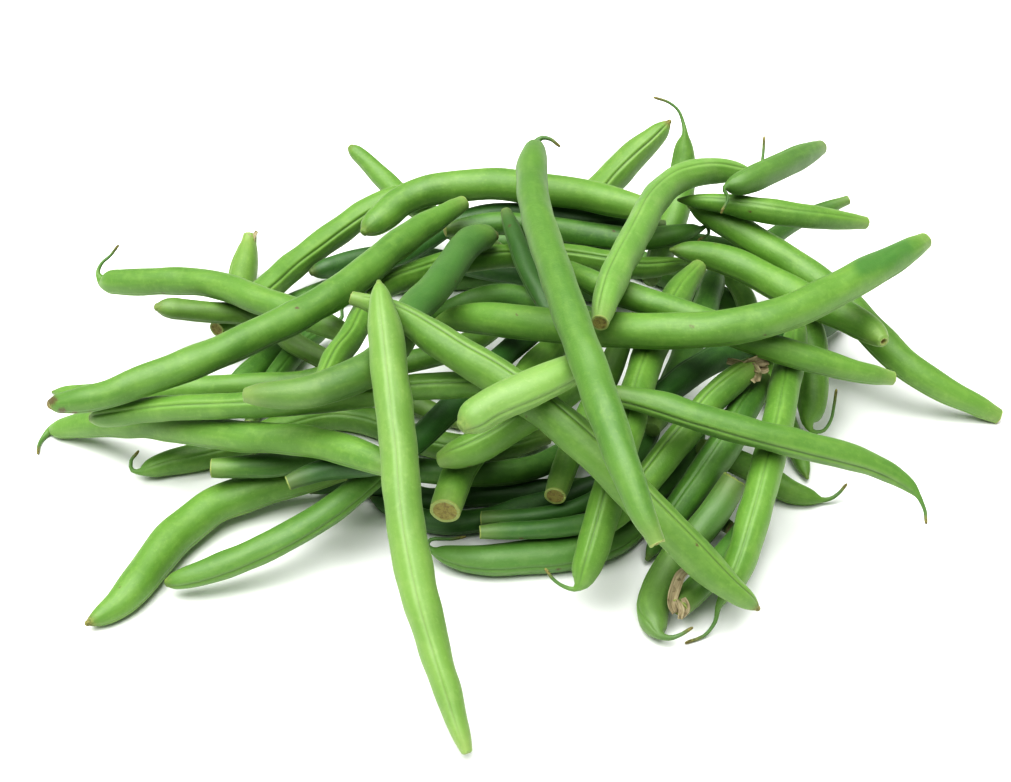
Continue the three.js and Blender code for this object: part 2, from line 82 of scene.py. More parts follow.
def linear(code):
    """An sRGB hex colour as linear red, green, blue and alpha."""
    channels = np.array([int(code[i : i + 2], 16) for i in (1, 3, 5)]) / 255
    low = channels / 12.92
    high = ((channels + 0.055) / 1.055) ** 2.4
    return (*np.where(channels <= 0.04045, low, high).tolist(), 1.0)


# How each pod differs from a plain one. suture is how dark its line is, lip how high the lips beside it
# stand, bumps how far the seeds push the sides out, stem the kind of stem end, tipped how brown the very
# blossom end is, scars the brown marks and shade_and_patch the darker patches, each as (picture x,
# picture y, radius); these darker patches are painted shade, on long_cross_right partly the skin's own
# darker patches. warm is how far the green leans to yellow, pale_and_lit how far it fades, partly a
# paler skin and partly painted light on top-lit pods, and dim_and_shade how far it darkens, partly a
# deeper green and partly painted shade on pods that lie in shade.
PLAIN_POD = {
    "suture": 0.25,
    "lip": 0.08,
    "bumps": 0.16,
    "stem": "cut",
    "tipped": 0.25,
    "scars": (),
    "shade_and_patch": (),
    "warm": 0.0,
    "pale_and_lit": 0.0,
    "dim_and_shade": 0.0,
    "flat": 0.05,
}
POD_LOOKS = {
    "front_long": {"suture": 0.35, "lip": 0.07, "bumps": 0.22, "stem": "scar", "warm": 0.4, "dim_and_shade": 0.1},
    "diagonal_front": {"suture": 1.0, "lip": 0.16, "bumps": 0.12, "warm": 0.1, "tipped": 0.9, "dim_and_shade": 0.08},
    "upright_front": {"suture": 0.05, "lip": 0.04, "bumps": 0.1, "stem": "snapped", "dim_and_shade": 0.25},
    "bright_centre": {"suture": 0.4, "lip": 0.15, "bumps": 0.08, "warm": 0.1, "pale_and_lit": 0.12},
    "bent_top_right": {"suture": 0.6, "lip": 0.16, "bumps": 0.12, "warm": 0.1},
    "long_cross_right": {
        "suture": 0.15,
        "bumps": 0.1,
        "shade_and_patch": ((864, 265, 3.4), (872, 261, 3.8), (882, 257, 4.2), (892, 253, 4.2), (902, 249, 4.0)),
    },
    "long_diagonal_left": {
        "suture": 0.2,
        "bumps": 0.2,
        "tipped": 1.0,
        "dim_and_shade": 0.12,
        "scars": ((52, 400, 1.6), (62, 411, 1.2), (74, 415, 1.3), (90, 414, 0.9)),
    },
    "floor_front_left": {"tipped": 0.8},
    "curved_left_middle": {
        "suture": 0.05,
        "lip": 0.03,
        "bumps": 0.1,
        "stem": "scar",
        "warm": 0.1,
        "dim_and_shade": 0.12,
        "tipped": 0.7,
        "shade_and_patch": ((425, 300, 7.0), (440, 278, 8.0), (455, 258, 8.0), (470, 244, 6.0)),
    },
    "dark_steep": {"dim_and_shade": 0.8},
    "right_facing_stem": {"suture": 0.5, "lip": 0.14, "stem": "scar"},
    "right_long_tail": {"suture": 1.0, "lip": 0.15, "dim_and_shade": 0.2},
    "upper_left": {"suture": 0.9, "lip": 0.16},
    "upper_right_pointed": {"suture": 0.9, "lip": 0.18, "warm": 0.1, "tipped": 0.9},
    "middle_back_bright": {"suture": 0.8, "lip": 0.2},
    "floor_front_middle": {"suture": 0.4, "lip": 0.14, "dim_and_shade": 0.35},
    "right_calyx": {"suture": 0.9, "lip": 0.16},
    "right_broad_down": {"suture": 0.4, "lip": 0.12},
    "middle_long_down": {"suture": 0.5, "lip": 0.14},
    "right_front_long": {"suture": 0.4, "lip": 0.12},
    "left_middle_long": {"suture": 0.6, "lip": 0.14},
    "floor_front_slim": {"suture": 0.5, "lip": 0.14, "dim_and_shade": 0.3},
    "arch_top": {"suture": 0.2, "lip": 0.1, "bumps": 0.2},
    "cut_end_curl": {"suture": 0.7, "lip": 0.16, "stem": "scar"},
    "right_far_long": {"suture": 0.2, "lip": 0.1},
    "right_broken_top": {"pale_and_lit": 0.12, "shade_and_patch": ((732, 484, 6.0), (720, 502, 6.0), (708, 520, 5.0))},
    "middle_dark_long": {"dim_and_shade": 0.5},
    "cut_pair_upper": {"dim_and_shade": 0.6},
    "cut_pair_lower": {"dim_and_shade": 0.4},
    "top_right_cut": {"pale_and_lit": 0.05},
    "right_inner_round": {"stem": "rounded"},
    "right_low_short": {"stem": "rounded"},
    "neck_top_right": {"stem": "rounded"},
    "middle_back_upper": {"stem": "rounded"},
    "upright_left": {"warm": 0.3},
    "floor_stub_left": {"warm": 0.4},
    "left_lower_long": {"bumps": 0.1},
}

# Skin tones: the green of the lit side, the deeper green it wanders to, and the paler green at ribs
TONES = {
    "pod_bright": ("#68943C", "#5D8A36", "#87A75D"),
    "pod_fresh": ("#5F892E", "#537E26", "#7EA147"),
    "pod_deep": ("#4B7724", "#3B681C", "#69923A"),
    "pod_dark": ("#2F5E1A", "#265213", "#4B772C"),
    "pod_bluish": ("#5A8030", "#476F26", "#7A974A"),
}
# The dark green that pods are darkened towards is partly a deeper skin and partly painted shade
DIM_AND_SHADE_GREEN = "#2A5B1A"
# The pale green is partly a paler skin and partly painted light on top-lit pods
PALE_AND_LIT_GREEN = "#B7C382"
# The patch green is painted shade on the seen side of pods, on long_cross_right partly the skin's own darker patches
SHADE_AND_PATCH_GREEN = "#326B24"
WARM_GREEN = "#B1B964"
SUTURE_LINE = "#456527"
SUTURE_TAN = "#7F8242"
YELLOW_NECK = "#C0BF84"
TAIL_GREEN = "#446832"
CUT_RIM = "#8D9A55"
DRIED_PALE = "#968A4C"
DRIED_BROWN = "#54481C"
FLESH = "#8E8746"
FLESH_RIM = "#6C5A30"
CALYX_SPOT = "#4A4018"
CALYX_PALE = "#AFA486"
CALYX_BROWN = "#625734"


class BeanSizes(bpy.types.PropertyGroup):
    """Fineness of the pods' surfaces."""

    around: IntProperty(name="Points around", description="Points in each cross section", default=48, min=16)
    step: FloatProperty(name="Step along", description="Millimetres between cross sections", default=1.15)
    swelling: FloatProperty(
        name="Seed swelling", description="How strongly the seeds push the sides out", default=1.0, min=0.0
    )


class StageSizes(bpy.types.PropertyGroup):
    """Floor and light."""

    floor_side: FloatProperty(name="Floor side", description="Side of the floor", default=9.0, unit="LENGTH")
    floor_colour: FloatVectorProperty(
        name="Floor colour", description="Colour of the floor", subtype="COLOR", default=(0.88, 0.88, 0.875)
    )
    sky: FloatProperty(name="Sky", description="Strength of the even light from all sides", default=0.24)
    key: FloatProperty(name="Key light", description="Strength of the large soft light above", default=4.5)


def add(tree, kind, settings=None, **links):
    """Adds a node. settings are its own values by name, and links its inputs by name with underscores for
    spaces: a socket is linked, anything else becomes the input's value."""
    node = tree.nodes.new(kind)
    for key, value in (settings or {}).items():
        setattr(node, key, value)
    for key, value in links.items():
        socket = node.inputs[int(key[1:])] if key[1:].isdigit() else node.inputs[key.replace("_", " ")]
        if isinstance(value, bpy.types.NodeSocket):
            tree.links.new(value, socket)
        else:
            socket.default_value = value
    return node


def spread(tree, value, low, high):
    """A socket that runs smoothly from 0 where value is at low to 1 where it is at high."""
    node = add(
        tree, "ShaderNodeMapRange", {"interpolation_type": "SMOOTHSTEP"}, Value=value, From_Min=low, From_Max=high
    )
    return node.outputs["Result"]


def product(tree, first, second):
    """A socket with first times second."""
    return add(tree, "ShaderNodeMath", {"operation": "MULTIPLY"}, _0=first, _1=second).outputs[0]


def blended(tree, share, first, second):
    """A colour socket: first where share is 0, second where it is 1."""
    node = add(tree, "ShaderNodeMix", {"data_type": "RGBA"}, _0=share, _6=first, _7=second)
    return node.outputs[2]


def measure(tree, name, part="Fac"):
    """A socket that reads one of the piece's own attributes."""
    return add(tree, "ShaderNodeAttribute", {"attribute_name": name}).outputs[part]


def noise(tree, vector, size, detail=3.0, rough=0.5):
    """Noise with features of about size, in metres where vector is the Object place."""
    node = add(tree, "ShaderNodeTexNoise", None, Vector=vector, Scale=1 / size, Detail=detail, Roughness=rough)
    return node.outputs["Fac"]


def new_material(name):
    """An empty node material with its output and a Principled shader."""
    material = bpy.data.materials.new(name)
    material.use_nodes = True
    tree = material.node_tree
    tree.nodes.clear()
    shader = add(tree, "ShaderNodeBsdfPrincipled")
    add(tree, "ShaderNodeOutputMaterial", None, Surface=shader.outputs[0])
    return material, tree, shader


def pod_skin(name, tone):
    """The living skin of a green bean: thin wax over smooth green cells, so the gloss is soft and broad.
    Faint streaks run lengthwise, the suture is a thin dark line between paler lips, the neck turns
    yellow, and cut faces and blossom ends dry to tan and brown."""
    material, tree, shader = new_material(name)
    lit, deeper, paler = (linear(code) for code in tone)
    place = add(tree, "ShaderNodeTexCoord").outputs["Object"]
    skin = measure(tree, "skin_place", "Vector")
    gap = measure(tree, "suture_gap")

    wander = spread(tree, noise(tree, place, 16 * MM, 2.0), 0.35, 0.68)
    colour = blended(tree, wander, lit, deeper)
    streaks = spread(tree, noise(tree, skin, 0.45, 4.0, 0.6), 0.42, 0.75)
    colour = blended(tree, product(tree, streaks, 0.3), colour, paler)
    clouds = spread(tree, noise(tree, place, 4 * MM, 4.0, 0.6), 0.45, 0.7)
    colour = blended(tree, product(tree, clouds, 0.3), colour, paler)
    freckles = spread(tree, noise(tree, place, 0.9 * MM, 2.0), 0.55, 0.78)
    colour = blended(tree, product(tree, freckles, 0.3), colour, paler)
    # Painted shade: darker patches on the side the eye sees, placed from picture pixels; on long_cross_right partly
    # the skin's own patches
    shade_and_patches = spread(tree, measure(tree, "shade_and_patch"), 0.15, 0.9)
    colour = blended(tree, product(tree, shade_and_patches, 0.65), colour, linear(SHADE_AND_PATCH_GREEN))
    warm = measure(tree, "warm")
    colour = blended(tree, product(tree, warm, 0.3), colour, linear(WARM_GREEN))
    # Painted light: the fade to pale green is partly a paler skin and partly painted light on top-lit pods
    colour = blended(tree, measure(tree, "pale_and_lit"), colour, linear(PALE_AND_LIT_GREEN))
    # Painted shade: the darkening towards dark green is partly a deeper green and partly painted shade on pods in
    # shade
    colour = blended(tree, measure(tree, "dim_and_shade"), colour, linear(DIM_AND_SHADE_GREEN))

    strength = measure(tree, "suture")
    lips = product(tree, spread(tree, gap, 1.7, 0.5), strength)
    colour = blended(tree, product(tree, lips, 0.3), colour, paler)
    line = product(tree, spread(tree, gap, 0.36, 0.1), strength)
    broken = spread(tree, noise(tree, skin, 1.2, 2.0), 0.25, 0.5)
    line = product(tree, line, broken)
    line_colour = blended(tree, warm, linear(SUTURE_LINE), linear(SUTURE_TAN))
    colour = blended(tree, product(tree, line, 0.8), colour, line_colour)

    colour = blended(tree, product(tree, measure(tree, "neck"), 0.16), colour, linear(YELLOW_NECK))
    colour = blended(tree, product(tree, measure(tree, "tail"), 0.85), colour, linear(TAIL_GREEN))
    grain = noise(tree, place, 0.7 * MM, 4.0, 0.65)
    dry_colour = blended(tree, spread(tree, grain, 0.35, 0.65), linear(DRIED_PALE), linear(DRIED_BROWN))
    dried = measure(tree, "dried")
    colour = blended(tree, dried, colour, dry_colour)
    scar = spread(tree, product(tree, measure(tree, "scar"), grain), 0.14, 0.42)
    colour = blended(tree, scar, colour, linear(DRIED_BROWN))
    cut = measure(tree, "cut")
    rings = spread(tree, noise(tree, place, 1.1 * MM, 4.0, 0.7), 0.44, 0.66)
    flesh = blended(tree, product(tree, rings, 0.8), linear(FLESH), linear(FLESH_RIM))
    colour = blended(tree, spread(tree, cut, 0.08, 0.3), colour, linear(CUT_RIM))
    colour = blended(tree, spread(tree, cut, 0.55, 0.85), colour, flesh)
    tree.links.new(colour, shader.inputs["Base Color"])

    matt = add(tree, "ShaderNodeMapRange", None, Value=noise(tree, place, 5 * MM), To_Min=0.5, To_Max=0.64)
    dry = add(tree, "ShaderNodeMath", {"operation": "MAXIMUM"}, _0=cut, _1=dried)
    rough = add(
        tree, "ShaderNodeMix", {"data_type": "FLOAT"}, _0=dry.outputs[0], _2=matt.outputs["Result"], _3=0.85
    )
    tree.links.new(rough.outputs[0], shader.inputs["Roughness"])
    wrinkles = product(tree, noise(tree, skin, 0.22, 3.0), 0.55)
    pores = add(tree, "ShaderNodeMath", {"operation": "ADD"}, _0=wrinkles, _1=noise(tree, place, 0.5 * MM))
    fine = add(
        tree, "ShaderNodeBump", None, Strength=0.4, Distance=0.14 * MM, Height=pores.outputs[0]
    )
    torn = product(tree, grain, dry.outputs[0])
    coarse = add(
        tree, "ShaderNodeBump", None, Strength=0.8, Distance=0.5 * MM, Height=torn, Normal=fine.outputs[0]
    )
    tree.links.new(coarse.outputs[0], shader.inputs["Normal"])
    shader.inputs["IOR"].default_value = 1.45
    shader.inputs["Specular IOR Level"].default_value = 1.0
    shader.inputs["Sheen Weight"].default_value = 0.12
    shader.inputs["Sheen Roughness"].default_value = 0.5
    shader.inputs["Sheen Tint"].default_value = linear("#EAF5DC")
    shader.inputs["Subsurface Weight"].default_value = 0.12
    shader.inputs["Subsurface Radius"].default_value = (0.6, 1.0, 0.25)
    shader.inputs["Subsurface Scale"].default_value = 1.2 * MM
    return material


def dried_calyx_skin():
    """Dried calyx: papery tan and brown, matt, with veins from base to edge."""
    material, tree, shader = new_material("dried calyx")
    place = add(tree, "ShaderNodeTexCoord").outputs["Object"]
    veins = measure(tree, "skin_place", "Vector")
    grain = spread(tree, noise(tree, veins, 0.35, 4.0, 0.6), 0.35, 0.7)
    colour = blended(tree, product(tree, grain, 0.7), linear(CALYX_PALE), linear(CALYX_BROWN))
    spots = spread(tree, noise(tree, place, 1.5 * MM, 3.0), 0.55, 0.75)
    colour = blended(tree, product(tree, spots, 0.7), colour, linear(CALYX_SPOT))
    tree.links.new(colour, shader.inputs["Base Color"])
    bump = add(tree, "ShaderNodeBump", None, Strength=0.35, Distance=0.2 * MM, Height=grain)
    tree.links.new(bump.outputs[0], shader.inputs["Normal"])
    shader.inputs["Roughness"].default_value = 0.8
    return material


def floor_finish(colour):
    """Matt white board: even and pale, with hardly any gloss."""
    material, tree, shader = new_material("matt white board")
    place = add(tree, "ShaderNodeTexCoord").outputs["Object"]
    tone = add(tree, "ShaderNodeMapRange", None, Value=noise(tree, place, 0.3), To_Min=0.99, To_Max=1.0)
    tint = add(tree, "ShaderNodeVectorMath", {"operation": "SCALE"}, _0=colour, Scale=tone.outputs[0])
    tree.links.new(tint.outputs[0], shader.inputs["Base Color"])
    shader.inputs["Roughness"].default_value = 0.7
    shader.inputs["Specular IOR Level"].default_value = 0.2
    return material


def merged(node):
    """A node's corners without doubles, in millimetres, and which of them its triangles join."""
    mesh = node.data
    places = np.empty(len(mesh.vertices) * 3)
    mesh.vertices.foreach_get("co", places)
    corners = np.empty(len(mesh.loops), dtype=int)
    mesh.loops.foreach_get("vertex_index", corners)
    keys = np.round(places.reshape(-1, 3) / MERGE).astype(int)
    unique, index = np.unique(keys, axis=0, return_inverse=True)
    return unique * MERGE / MM, index.reshape(-1)[corners].reshape(-1, 3)


def rings_of(node):
    """The rings of corners that a pod's solid was made of, from stem to blossom end, then its last point.
    A ring holds the corners that are the same number of edges away from the middle of the stem face. The
    two ends' middles each join a whole ring, and the stem's lies nearer to the plane of its ring."""
    places, triangles = merged(node)
    joined = np.zeros((len(places), len(places)), dtype=bool)
    for first, second in ((0, 1), (1, 2), (2, 0)):
        joined[triangles[:, first], triangles[:, second]] = True
        joined[triangles[:, second], triangles[:, first]] = True
    middles = np.flatnonzero(joined.sum(1) == RING_CORNERS)
    domes = [np.linalg.norm(places[joined[m]].mean(0) - places[m]) for m in middles]
    stem = middles[int(np.argmin(domes))]
    seen = np.zeros(len(places), dtype=bool)
    seen[stem] = True
    now = joined[stem].copy()
    rings = []
    while now.sum() == RING_CORNERS:
        rings.append(places[now])
        seen |= now
        now = joined[now].any(0) & ~seen
    return np.array(rings), places[now][0]


def spline(knots, values, at):
    """Values at each place: a cubic through the known ones whose slope at a knot is the mean of the
    slopes beside it, weighted by how near they are."""
    steps = np.diff(knots)[:, None]
    slopes = np.diff(values, axis=0) / steps
    inner = (slopes[:-1] * steps[1:] + slopes[1:] * steps[:-1]) / (steps[1:] + steps[:-1])
    tangents = np.concatenate([slopes[:1], inner, slopes[-1:]])
    piece = np.clip(np.searchsorted(knots, at, side="right") - 1, 0, len(knots) - 2)
    span = steps[piece]
    t = (at - knots[piece])[:, None] / span
    start = (1 + 2 * t) * (1 - t) ** 2 * values[piece] + t * (1 - t) ** 2 * span * tangents[piece]
    end = t**2 * (3 - 2 * t) * values[piece + 1] + t**2 * (t - 1) * span * tangents[piece + 1]
    return start + end


def unit(vectors):
    """The vectors at length one."""
    return vectors / np.maximum(np.linalg.norm(vectors, axis=-1, keepdims=True), 1e-12)


class Pod:
    """A pod's middle line, radius and suture direction, read from its solid."""

    def __init__(self, node):
        rings, self.apex = rings_of(node)
        self.centres = rings.mean(1)
        self.tangents = unit(np.gradient(self.centres, axis=0))
        arms = rings - self.centres[:, None]
        arms -= (arms * self.tangents[:, None]).sum(-1, keepdims=True) * self.tangents[:, None]
        reach = np.linalg.norm(arms, axis=-1)
        self.radii = np.median(reach, axis=1)
        self.knots = np.concatenate([[0], np.cumsum(np.linalg.norm(np.diff(self.centres, axis=0), axis=1))])
        self.body = int((self.radii > RIDGE_RADIUS).sum())
        ridged = np.where(self.radii > RIDGE_RADIUS, reach.max(1) - self.radii, 0)
        self.sutures = self.follow_suture(arms, reach, int(np.argmax(ridged)))

    def follow_suture(self, arms, reach, clearest):
        """From the ring whose ridge is clearest, the corner nearest to the same direction in each ring."""
        directions = unit(arms)
        chosen = np.zeros((len(arms), 3))
        chosen[clearest] = directions[clearest, int(np.argmax(reach[clearest]))]
        for step, last in ((1, len(arms)), (-1, -1)):
            for ring in range(clearest + step, last, step):
                alike = directions[ring] @ chosen[ring - step]
                chosen[ring] = directions[ring, int(np.argmax(alike))]
        return chosen


def sight(pixel):
    """The direction in which the eye sees a pixel of the picture."""
    across = (pixel[0] - PICTURE_WIDTH / 2) / FOCAL_PIXELS
    above = (PICTURE_HEIGHT / 2 - pixel[1]) / FOCAL_PIXELS
    return unit(FORWARD + above * UPWARD + np.array([across, 0.0, 0.0]))


def seen_mark(rows, centre, pixel, width):
    """A soft round mark on the side of the pod that the eye sees, where it sees the pixel."""
    line = sight(pixel)
    arms = rows - EYE
    away = np.linalg.norm(arms - (arms @ line)[..., None] * line, axis=-1)
    return bell(away, width) * ((rows - centre[:, None]) @ line < 0)


def bell(distance, width):
    """A smooth bump: one where distance is 0, fading over width."""
    return np.exp(-((distance / width) ** 2))


def pod_surface(pod, look, sizes, rng):
    """A pod as a tube around its middle line. The radius at a place is the solid's, slimmer across the
    suture than along it, plus two lips beside a narrow groove, a low ridge opposite, a bump at each seed
    that is strongest on the flanks, and slow waves. The stem end closes in a face with a raised rim, and
    the blossom end in half an ellipse. Returns places in rows, the two end points and the attributes."""
    length = pod.knots[-1]
    tail_rings = len(pod.centres) - pod.body
    body_end = pod.knots[-tail_rings] if tail_rings > 2 else length
    cap = np.linalg.norm(pod.apex - pod.centres[-1])
    near = np.array([0.0, 0.08, 0.25, 0.6, 1.1, 1.8, 2.6])
    middle = np.arange(3.4, length - 3.2, sizes.step)
    along = np.concatenate([near, middle, length - np.array([2.6, 1.9, 1.3, 0.8, 0.35, 0.0])])
    centre = spline(pod.knots, pod.centres, along)
    radius = np.maximum(spline(pod.knots, pod.radii[:, None], along)[:, 0], 0.3)
    past_body = along - body_end
    beak = TAIL_RADIUS + (pod.radii[-tail_rings] - TAIL_RADIUS) * np.exp(-past_body / BEAK_LENGTH)
    radius = np.where((past_body > 0) & (length > body_end), np.maximum(beak, TAIL_RADIUS), radius)
    if look["stem"] != "scar":
        straight = np.interp(CUT_LENGTH, along, radius) * (1 - CUT_TAPER * (1 - along / CUT_LENGTH))
        radius = np.where(along < CUT_LENGTH, np.maximum(radius, straight), radius)
    blunt = 1.1 * pod.radii[-1]
    past = np.clip((along - (length - blunt)) / (blunt + cap), 0, 1)
    radius = radius * np.sqrt(1 - past**2)
    forward = unit(np.gradient(centre, axis=0))
    suture = spline(pod.knots, pod.sutures, along)
    suture = unit(suture - (suture * forward).sum(1, keepdims=True) * forward)
    side = np.cross(forward, suture)

    turn = np.linspace(0, 1, sizes.around, endpoint=False)
    angle = 2 * np.pi * turn - 0.62 * np.sin(2 * np.pi * turn)
    signed = np.where(angle > np.pi, angle - 2 * np.pi, angle)
    gap = np.abs(signed)[None] * radius[:, None]
    back_gap = (np.pi - np.abs(signed))[None] * radius[:, None]
    thick = np.clip((radius - 0.8) / 2.2, 0, 1)[:, None]
    fade = thick * np.clip(along / 6, 0, 1)[:, None]

    lips = look["lip"] * (bell(gap - 0.85, 0.6) - 0.2)
    groove = -(0.04 + 1.1 * look["lip"]) * bell(gap, 0.32)
    ridge = 0.12 * bell(back_gap, 0.5)
    seeds = np.cumsum(rng.uniform(8.5, 12.5, 40)) + rng.uniform(2, 8)
    size = rng.uniform(0.5, 1.0, 40)
    push = (size[None] * bell(along[:, None] - seeds[None], 3.2)).sum(1)[:, None]
    flank = np.abs(np.sin(angle))[None] ** 1.3
    swell = sizes.swelling * look["bumps"] * (push - 0.35) * flank
    waves = sum(
        0.05 * np.sin(along[:, None] * rate + lobe * angle[None] + phase)
        for rate, lobe, phase in zip(rng.uniform(0.08, 0.45, 6), (0, 1, 2, 3, 1, 2), rng.uniform(0, 6.3, 6))
    )
    shape = 1 - look["flat"] * np.sin(angle)[None] ** 2
    reach = radius[:, None] * shape + fade * (lips + groove + ridge + swell + waves)
    rows = centre[:, None] + reach[..., None] * (
        np.cos(angle)[None, :, None] * suture[:, None] + np.sin(angle)[None, :, None] * side[:, None]
    )

    names = ("suture_gap", "suture", "neck", "tail", "dried", "cut", "shade_and_patch", "scar", "warm", "pale_and_lit", "dim_and_shade")
    marks = {name: np.zeros(rows.shape[:2]) for name in names}
    marks["suture_gap"][:] = gap
    marks["suture"][:] = look["suture"] * fade * rng.uniform(0.9, 1.0)
    marks["neck"][:] = 0.9 * bell(along, 5.0)[:, None]
    # The per-pod fade to pale green is partly painted light, and the darkening partly painted shade
    for name in ("warm", "pale_and_lit", "dim_and_shade"):
        marks[name][:] = look[name]
    tail_share = np.clip((along - body_end) / max(length - body_end, 1e-6), 0, 1)
    if length > body_end:
        marks["tail"][:] = np.sqrt(tail_share)[:, None]
        ends_dry = 0.9 * np.clip((tail_share - 0.7) / 0.3, 0, 1)
    else:
        ends_dry = look["tipped"] * bell(length - along, 1.3)
    marks["dried"][:] = ends_dry[:, None]
    marks["cut"][:] = 0.4 * bell(along, 0.2)[:, None] * (look["stem"] in ("cut", "snapped"))
    # The darker patches are painted shade, on long_cross_right partly the skin's own patches; the scars are real
    # brown marks
    for kind, key in (("scars", "scar"), ("shade_and_patch", "shade_and_patch")):
        for across, down, width in look[kind]:
            marks[key] = np.maximum(marks[key], seen_mark(rows, centre, (across, down), width))
    for _ in range(rng.integers(1, 4)):
        share, degrees, width = rng.uniform(0.08, 0.92), rng.uniform(-180, 180), rng.uniform(0.3, 0.8)
        distance = (along - share * length)[:, None] ** 2
        distance = distance + ((signed - math.radians(degrees))[None] * radius[:, None]) ** 2
        marks["scar"] = np.maximum(marks["scar"], np.exp(-distance / width**2))
    skin = np.stack(
        np.broadcast_arrays(np.cos(angle)[None], np.sin(angle)[None], along[:, None] / 26 + rng.uniform(0, 50)),
        axis=-1,
    )
    skin = skin.copy()

    face, face_marks, face_middle = stem_face(rows[0], centre[0], forward[0], radius[0], look["stem"], rng)
    blossom = blossom_cap(rows[-1], centre[-1], pod.apex, cap)
    rows = np.concatenate([face, rows, blossom])
    ahead, behind = len(face), len(blossom)
    for name, values in marks.items():
        first = np.repeat(values[:1], ahead, axis=0)
        if name in face_marks:
            first = np.maximum(first, face_marks[name])
        marks[name] = np.concatenate([first, values, np.repeat(values[-1:], behind, axis=0)])
    skin = np.concatenate([np.repeat(skin[:1], ahead, 0), skin, np.repeat(skin[-1:], behind, 0)])
    rows[..., 2] = np.maximum(rows[..., 2], 0)
    return rows, face_middle, pod.apex, marks, skin


# The face of each kind of stem end, from the middle out to the wall: how far towards the middle line's
# end it stands, in radii, and its share of the wall's radius
STEM_FACES = {
    "cut": ((0.0, 0.25), (0.0, 0.5), (0.03, 0.72), (0.06, 0.82), (0.08, 0.9), (0.07, 0.96), (0.03, 0.99)),
    "scar": ((-0.28, 0.2), (-0.12, 0.3), (0.2, 0.42), (0.28, 0.54), (0.22, 0.7), (0.12, 0.9), (0.03, 0.99)),
    "snapped": ((0.0, 0.25), (0.02, 0.5), (0.06, 0.72), (0.16, 0.84), (0.14, 0.92), (0.06, 0.98)),
    "rounded": ((0.15, 0.2), (0.14, 0.45), (0.11, 0.65), (0.06, 0.82), (0.02, 0.94)),
}
TORN = {"cut": 0.03, "scar": 0.03, "snapped": 0.1, "rounded": 0.0}
FLESH_SHARES = {"cut": (0.8, 1.0), "scar": (0.36, 0.6), "snapped": (0.8, 1.0), "rounded": (0.0, 0.0)}

# A dried tail's radius, and how fast the pod's blossom end narrows to it
TAIL_RADIUS = 0.42
BEAK_LENGTH = 2.6

# How far from a cut stem end its sides run straight, and how much they narrow there
CUT_LENGTH = 3.0
CUT_TAPER = 0.14


def stem_face(wall, centre, forward, radius, kind, rng):
    """The stem end's face: rings of shrinking radius inside the wall's first ring, each moved out along
    the middle line as the kind's profile says, and torn by a few waves around. Returns its rows from the
    middle out, their attributes and the middle point."""
    profile = np.array(STEM_FACES[kind])
    around = len(wall)
    angle = np.linspace(0, 2 * np.pi, around, endpoint=False)
    arms = wall - centre
    torn = sum(
        rng.uniform(0.3, 1.0) * np.sin(lobe * angle + rng.uniform(0, 6.3)) for lobe in (1, 2, 3, 5, 8)
    )
    lift = profile[:, 0][:, None] * radius + TORN[kind] * radius * torn[None] * profile[:, 1][:, None] ** 2
    rows = centre + arms[None] * profile[:, 1][:, None, None] - forward * lift[..., None]
    flesh, rim = FLESH_SHARES[kind]
    cut = np.where(profile[:, 1] < flesh, 1.0, np.where(profile[:, 1] < rim, 0.4, 0.0))
    marks = {"cut": np.repeat(cut[:, None], around, axis=1)}
    if kind == "scar":
        marks["dried"] = np.repeat(bell(profile[:, 1], 0.3)[:, None], around, axis=1)
    middle = centre - forward * profile[0, 0] * radius
    return rows, marks, middle


def blossom_cap(wall, centre, apex, reach):
    """The blossom end's cap: rings that shrink as half an ellipse from the last ring to the apex."""
    share = np.array([0.35, 0.65, 0.88])
    shrink = np.sqrt(1 - share**2)
    step = apex - centre
    return centre + step * share[:, None, None] + (wall - centre)[None] * shrink[:, None, None]


def tube_faces(rows, around):
    """Faces of a closed tube of rows with a point at each end: quads between rows, triangles at the ends.
    The first point's index is rows times around, the last point's follows it."""
    here = np.arange(rows * around).reshape(rows, around)
    right = np.roll(here, -1, axis=1)
    quads = np.stack([here[:-1], right[:-1], right[1:], here[1:]], axis=-1).reshape(-1, 4)
    first = rows * around
    start = np.stack([np.full(around, first), right[0], here[0]], axis=-1)
    end = np.stack([here[-1], right[-1], np.full(around, first + 1)], axis=-1)
    return quads.tolist() + start.tolist() + end.tolist()


def make_piece(name, places, faces, material, values, skin):
    """A mesh object from places in millimetres, with its attributes."""
    mesh = bpy.data.meshes.new(name)
    mesh.from_pydata((places * MM).tolist(), [], faces)
    for key, numbers in values.items():
        attribute = mesh.attributes.new(key, "FLOAT", "POINT")
        attribute.data.foreach_set("value", numbers.astype(np.float32))
    attribute = mesh.attributes.new("skin_place", "FLOAT_VECTOR", "POINT")
    attribute.data.foreach_set("vector", skin.astype(np.float32).reshape(-1))
    mesh.polygons.foreach_set("use_smooth", np.ones(len(mesh.polygons), dtype=bool))
    mesh.materials.append(material)
    mesh.update()
    piece = bpy.data.objects.new(name, mesh)
    bpy.context.scene.collection.objects.link(piece)
    return piece


def bean_nodes():
    """Each bean's short name, its node's name and its material slot."""
    parts = frame["record"]["subparts"]
    return [(part["node"].removeprefix("bean_"), part["node"], part["material_slot"]) for part in parts]


